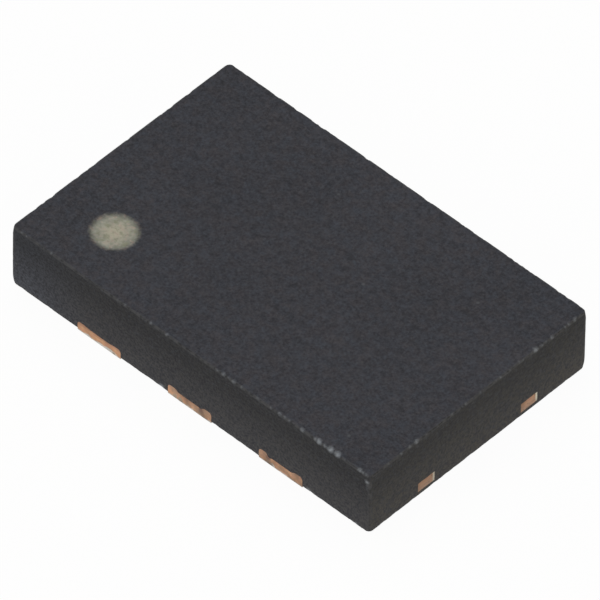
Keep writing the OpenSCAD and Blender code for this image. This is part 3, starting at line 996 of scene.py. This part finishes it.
def cutMoulding():
    pocket = looseCopy(copperPad, "pocket")
    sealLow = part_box("resonator_seal")[0]
    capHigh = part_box("resonator_cap")[1]
    baseLow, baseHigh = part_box("resonator_base")
    others = [looseCopy(lead, "pocketPart") for lead in copperLeads]
    others.append(boxBetween("pocketPart", sealLow, capHigh))
    others.append(boxBetween("pocketPart", baseLow, Vector((baseHigh.x, baseHigh.y, sealLow.z))))
    sealed = ["chip_adhesive", "clock_chip", "stack_film"]
    sealed += [name for name in sorted(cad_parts) if "wire" in name]
    others += [looseCopy(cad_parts[name], "pocketPart") for name in sealed]
    combine(pocket, others, "UNION")
    print("pocket shape made, points:", len(pocket.data.vertices))
    combine(mouldedBody, [pocket, makeMarkCutter()], "DIFFERENCE")
    mouldedBody.data.materials.clear()
    mouldedBody.data.materials.append(epoxy)
    smoothPiece(mouldedBody)
    for face in mouldedBody.data.polygons:  # the wide level faces are shaded flat
        if face.area > mould["flatFace"] ** 2 and abs(face.normal.z) > 0.9999:
            face.use_smooth = False


# How far each point of the moulding is worn and painted with sheen, and how strongly its painted glints
# and pale flecks show, for its finish
def paintWearAndGlints():
    mesh = mouldedBody.data
    flat = np.zeros(len(mesh.vertices) * 3)
    mesh.vertices.foreach_get("co", flat)
    x, y, z = flat.reshape(-1, 3).T
    radius = mould["cornerRadius"]
    qx = np.abs(x) - halfLength + radius
    qy = np.abs(y) - halfWidth + radius
    fromWall = radius - np.hypot(np.maximum(qx, 0), np.maximum(qy, 0)) - np.minimum(np.maximum(qx, qy), 0)
    fromFlat = np.minimum(bodyTop - z, z - bodyBottom)
    # Edge wear, with a painted sheen along the edges on top of it
    away = np.hypot(1.4 * fromWall, 0.8 * fromFlat)
    wearAndSheen = ease(-away, -mould["edgeWidth"], -0.2 * mould["edgeWidth"])
    fromCorner = np.hypot(halfLength - np.abs(x), halfWidth - np.abs(y))
    # A painted highlight down the upright corners
    farthest, nearest, share = mould["uprightSheen"]
    share = share * (0.65 + 0.35 * ease(z, *mould["uprightSheenFrom"]))
    wearAndSheen = np.maximum(wearAndSheen, share * ease(-fromCorner, -farthest, -nearest))
    paintPoints(mesh, "wearAndSheen", wearAndSheen.astype(np.float32))

    # Painted glints at the broken spots and on the upright corner, and pale flecks of burr at the foot of
    # the long wall
    cornerX = halfLength - 45 * um
    spots = [(spotX, spotY, bodyTop - 4 * um, size) for spotX, spotY, size, deep in brokenSpots()]
    spots += [(cornerX, -halfWidth, up * um, size * um) for up, size in mould["glintsUpright"]]
    spots += [(spotX * um, -halfWidth, bodyBottom, size * um) for spotX, size in mould["flecksFoot"]]
    glintAndFleck = np.zeros(len(x))
    for spotX, spotY, spotZ, size in spots:
        away = np.sqrt((x - spotX) ** 2 + (y - spotY) ** 2 + (z - spotZ) ** 2)
        strength = min(1, size / mould["fullGlintSize"]) ** 0.88
        glintAndFleck = np.maximum(glintAndFleck, strength * (1 - away / (size + 9 * um)))
    paintPoints(mesh, "glintAndFleck", glintAndFleck.astype(np.float32))


cutMoulding()
paintWearAndGlints()
triangles = sum(len(face.vertices) - 2 for face in mouldedBody.data.polygons)
print("moulding cut, triangles:", triangles)


# What is sealed inside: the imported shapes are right, so they only get their finishes

inside = {
    "silicon": (0.07, 0.08, 0.115),
    "circuit": (0.22, 0.2, 0.23),
    "circuitBlock": 0.09 * mm,
    "metalLine": (0.55, 0.53, 0.5),
    "metalSpacing": 0.03 * mm,
    "gold": (0.86, 0.6, 0.22),
    "paleGold": (0.92, 0.72, 0.36),
    "drawnSize": 0.006 * mm,
    # For each paste its two colours, the size of its lumps, how metallic it is, and its roughness
    "silverPaste": ((0.28, 0.28, 0.27), (0.5, 0.5, 0.48), 12 * um, 0.5, 0.4),
    "amberFilm": ((0.36, 0.26, 0.10), (0.55, 0.42, 0.18), 40 * um, 0.0, 0.35),
    "glassPaste": ((0.30, 0.34, 0.30), (0.48, 0.52, 0.46), 8 * um, 0.0, 0.3),
}


def makeSilicon():
    material, tree, surface, place = startFinish("polished silicon")
    scale = 1 / inside["circuitBlock"]
    cell = addNode(tree, "TexVoronoi", {"Vector": place, "Scale": scale}, distance="CHEBYCHEV")
    block = splitUp(tree, cell.outputs["Color"])[0]
    colour = blend(tree, block, inside["silicon"], inside["circuit"])
    scale = 1 / inside["metalSpacing"]
    lines = addNode(tree, "TexBrick", {"Vector": place, "Scale": scale, "Mortar Size": 0.06})
    onLine = times(tree, lines.outputs["Fac"], fade(tree, block, 0.4, 0.6))
    colour = blend(tree, times(tree, onLine, 0.6), colour, inside["metalLine"])
    setLook(tree, surface, colour, between(tree, block, 0.12, 0.3), metallic=0.6)
    addBump(tree, surface, speckle(tree, place, 0.01 * mm), 0.2 * um)
    return material


def makeDrawnGold():
    material, tree, surface, place = startFinish("drawn gold")
    drawn = speckle(tree, place, inside["drawnSize"])
    colour = blend(tree, fade(tree, drawn, 0.35, 0.7), inside["gold"], inside["paleGold"])
    setLook(tree, surface, colour, between(tree, drawn, 0.16, 0.34), metallic=1.0)
    addBump(tree, surface, drawn, 0.3 * um)
    return material


def makePaste(name, shade, light, size, metallic, roughness):
    material, tree, surface, place = startFinish(name)
    lumps = speckle(tree, place, size, 4.0, 0.65)
    colour = blend(tree, fade(tree, lumps, 0.35, 0.65), shade, light)
    setLook(tree, surface, colour, between(tree, lumps, roughness, roughness + 0.2), metallic)
    addBump(tree, surface, lumps, 1.5 * um)
    return material


def dressInside():
    silicon = makeSilicon()
    drawnGold = makeDrawnGold()
    finishes = {
        "chip_adhesive": makePaste("silver paste", *inside["silverPaste"]),
        "clock_chip": silicon,
        "stack_film": makePaste("amber film", *inside["amberFilm"]),
        "resonator_base": silicon,
        "resonator_seal": makePaste("fired glass paste", *inside["glassPaste"]),
        "resonator_cap": silicon,
    }
    for name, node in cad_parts.items():
        finish = drawnGold if "wire" in name else finishes.get(name)
        if finish:
            node.data.materials.clear()
            node.data.materials.append(finish)


dressInside()
print("sealed pieces finished")


# Floor, backdrop and lights

studio = {
    "floorHalf": 0.5,
    "floorColour": (0.9, 0.885, 0.86),
    "shownWhite": 0.96,  # how white the floor is to the rays that see it
    "worldStrength": 0.5,
    "worldColour": (0.97, 0.98, 1.0),
    # Each lamp's direction from the package, distance, side, power and colour
    "lamps": {
        "topSoftbox": ((-0.35, 0.25, 1.0), 0.16, 0.13, 0.085, (0.93, 0.96, 1.0)),
        "sideSoftbox": ((-0.1, -0.9, 0.5), 0.15, 0.06, 0.033, (1.0, 0.97, 0.93)),
        "endSoftbox": ((0.9, 0.05, 0.45), 0.15, 0.06, 0.020, (1.0, 0.76, 0.34)),
    },
}


# 1 for the rays that see the floor or the backdrop, straight or in a reflection
def seenWhite(tree):
    rays = tree.nodes.new("ShaderNodeLightPath").outputs
    inGloss = calc(tree, "MAXIMUM", rays["Is Glossy Ray"], rays["Is Transmission Ray"])
    return calc(tree, "MAXIMUM", rays["Is Camera Ray"], inGloss)


def makeFloor():
    size = studio["floorHalf"]
    corners = [(-size, -size), (size, -size), (size, size), (-size, size)]
    mesh = bpy.data.meshes.new("studioFloor")
    mesh.from_pydata([(x, y, -1 * um) for x, y in corners], [], [(0, 1, 2, 3)])
    floor = addObject("studioFloor", mesh)
    material = bpy.data.materials.new("pale floor")
    tree = emptyTree(material)
    matt = addNode(tree, "BsdfDiffuse", {"Color": (*studio["floorColour"], 1)})
    glow = addNode(tree, "Emission", {"Color": (1, 1, 1, 1), "Strength": 1.0})
    factor = times(tree, seenWhite(tree), studio["shownWhite"])
    mix = addNode(tree, "MixShader", {0: factor, 1: matt.outputs[0], 2: glow.outputs[0]})
    addNode(tree, "OutputMaterial", {0: mix.outputs[0]})
    mesh.materials.append(material)


def makeWorld():
    world = bpy.data.worlds.new("studio")
    bpy.context.scene.world = world
    tree = emptyTree(world)
    soft = addNode(tree, "Background", {0: (*studio["worldColour"], 1), 1: studio["worldStrength"]})
    white = addNode(tree, "Background", {0: (1, 1, 1, 1), 1: 1.0})
    mix = addNode(tree, "MixShader", {0: seenWhite(tree), 1: soft.outputs[0], 2: white.outputs[0]})
    addNode(tree, "OutputWorld", {0: mix.outputs[0]})


def makeLamps():
    for name, (direction, distance, side, power, colour) in studio["lamps"].items():
        lamp = bpy.data.lights.new(name, "AREA")
        lamp.shape = "SQUARE"
        lamp.size = side
        lamp.energy = power
        lamp.color = colour
        holder = addObject(name, lamp)
        toward = Vector(direction).normalized()
        holder.location = toward * distance
        holder.rotation_mode = "QUATERNION"
        holder.rotation_quaternion = toward.to_track_quat("Z", "Y")


makeFloor()
makeWorld()
makeLamps()
print("floor, backdrop and lamps set")


# Camera, at the photograph's angle

viewpoint = {
    "azimuth": 42.74,
    "elevation": 46.89,
    "roll": 0.97,
    "distance": 194.5 * mm,
    "lens": 1149.6,
    "aimHeight": 0.445 * mm,  # above the board
    "shiftRight": 0.0146 * mm,
    "shiftUp": -0.0489 * mm,
}


def makeCamera():
    azimuth, elevation, roll = (math.radians(viewpoint[k]) for k in ("azimuth", "elevation", "roll"))
    flat = Vector((math.sin(azimuth), -math.cos(azimuth), 0)) * math.cos(elevation)
    back = flat + Vector((0, 0, math.sin(elevation)))
    levelRight = Vector((math.cos(azimuth), math.sin(azimuth), 0))
    levelUp = back.cross(levelRight)
    right = levelRight * math.cos(roll) + levelUp * math.sin(roll)
    up = levelUp * math.cos(roll) - levelRight * math.sin(roll)
    camera = bpy.data.cameras.new("camera")
    camera.sensor_width = 36
    camera.lens = viewpoint["lens"]
    camera.clip_start = 0.001
    camera.clip_end = 10
    holder = addObject("camera", camera)
    eye = Vector((0, 0, cadBox[0].z + viewpoint["aimHeight"])) + back * viewpoint["distance"]
    eye += right * viewpoint["shiftRight"] + up * viewpoint["shiftUp"]
    holder.matrix_world = Matrix.Translation(eye) @ Matrix((right, up, back)).transposed().to_4x4()
    bpy.context.scene.camera = holder


makeCamera()
bpy.context.scene.view_settings.view_transform = "Standard"
bpy.context.view_layer.update()
print("camera set")
